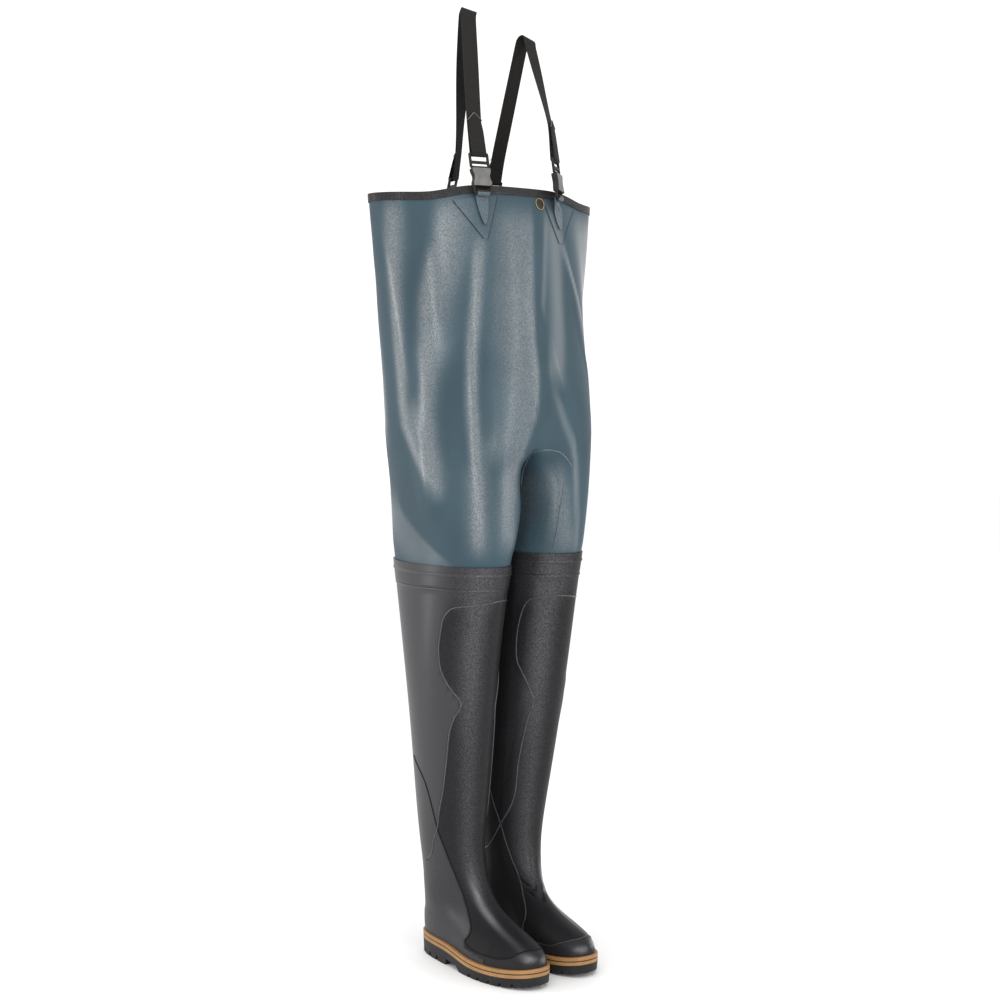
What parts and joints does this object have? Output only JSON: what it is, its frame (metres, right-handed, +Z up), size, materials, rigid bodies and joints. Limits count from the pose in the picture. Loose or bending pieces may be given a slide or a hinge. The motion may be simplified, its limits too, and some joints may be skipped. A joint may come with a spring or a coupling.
{
  "type": "chest waders",
  "caption": "Chest waders: coated trouser with a bound collar, joined rubber boots with a ribbed stripe and lugged outsole, and webbing braces on shut buckles.",
  "frame": {"origin": "on the floor under the middle of the whole box; the two legs mirror each other in x = 0", "axes": "+Z up, -Y the way the toes point, +X the wearer's left"},
  "size_m": [0.4696, 0.3808, 1.6724],
  "materials": {
    "coated_cloth": "fine grain, glossy",
    "boot_rubber": "satin",
    "tan_rubber": "satin",
    "outsole_rubber": "matt",
    "black_trim": "satin",
    "webbing": "woven",
    "insole_felt": "matt"
  },
  "bodies": {
    "root": {"trouser_body": "coated_cloth", "collar_binding": "black_trim", "boot_upper_right": "boot_rubber", "raised_seams_right": "boot_rubber", "midsole_right": "tan_rubber", "outsole_right": "outsole_rubber", "insole_right": "insole_felt", "boot_upper_left": "boot_rubber", "raised_seams_left": "boot_rubber", "midsole_left": "tan_rubber", "outsole_left": "outsole_rubber", "insole_left": "insole_felt", "buckle_body_front_right": "black_trim", "buckle_clip_front_right": "black_trim", "buckle_tab_front_right": "coated_cloth", "strap_patch_front_right": "coated_cloth", "buckle_body_front_left": "black_trim", "buckle_clip_front_left": "black_trim", "buckle_tab_front_left": "coated_cloth", "strap_patch_front_left": "coated_cloth", "buckle_body_back_right": "black_trim", "buckle_clip_back_right": "black_trim", "buckle_tab_back_right": "coated_cloth", "strap_patch_back_right": "coated_cloth", "buckle_body_back_left": "black_trim", "buckle_clip_back_left": "black_trim", "buckle_tab_back_left": "coated_cloth", "strap_patch_back_left": "coated_cloth", "strap_right": "webbing", "strap_left": "webbing", "blank_badge": "black_trim"}
  },
  "joints": []
}
